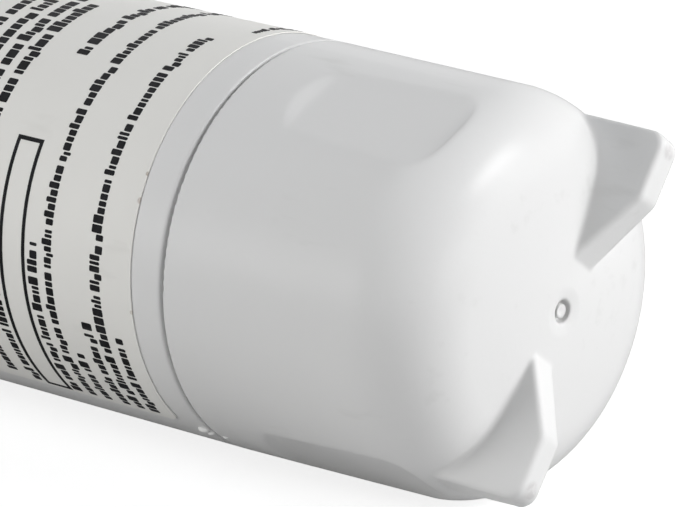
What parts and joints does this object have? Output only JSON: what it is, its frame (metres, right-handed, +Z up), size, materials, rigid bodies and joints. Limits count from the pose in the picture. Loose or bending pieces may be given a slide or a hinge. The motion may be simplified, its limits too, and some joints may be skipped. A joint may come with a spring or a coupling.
{
  "type": "water filter cartridge",
  "caption": "White twist-in water filter cartridge with a labelled tube, a finned grip cap, a bayonet neck with sealed ports and a carbon block inside.",
  "frame": {"origin": "on the floor under the middle of the filter, which lies on its side", "axes": "+X along the filter's axis towards the finned cap, +Z up"},
  "size_m": [0.2184, 0.0644, 0.0642],
  "materials": {
    "housing_plastic": "smooth moulded white",
    "label_film": "printed film",
    "seal_rubber": "satin black",
    "carbon": "pressed carbon",
    "felt": "spun felt",
    "end_cap_plastic": "moulded"
  },
  "bodies": {
    "root": {"main_shell": "housing_plastic", "grip_cap": "housing_plastic", "label": "label_film", "inlet_o_ring": "seal_rubber", "outlet_o_ring": "seal_rubber", "element_o_ring": "seal_rubber", "carbon_block": "carbon", "prefilter_wrap": "felt", "outlet_end_cap": "end_cap_plastic", "blind_end_cap": "end_cap_plastic"}
  },
  "joints": []
}
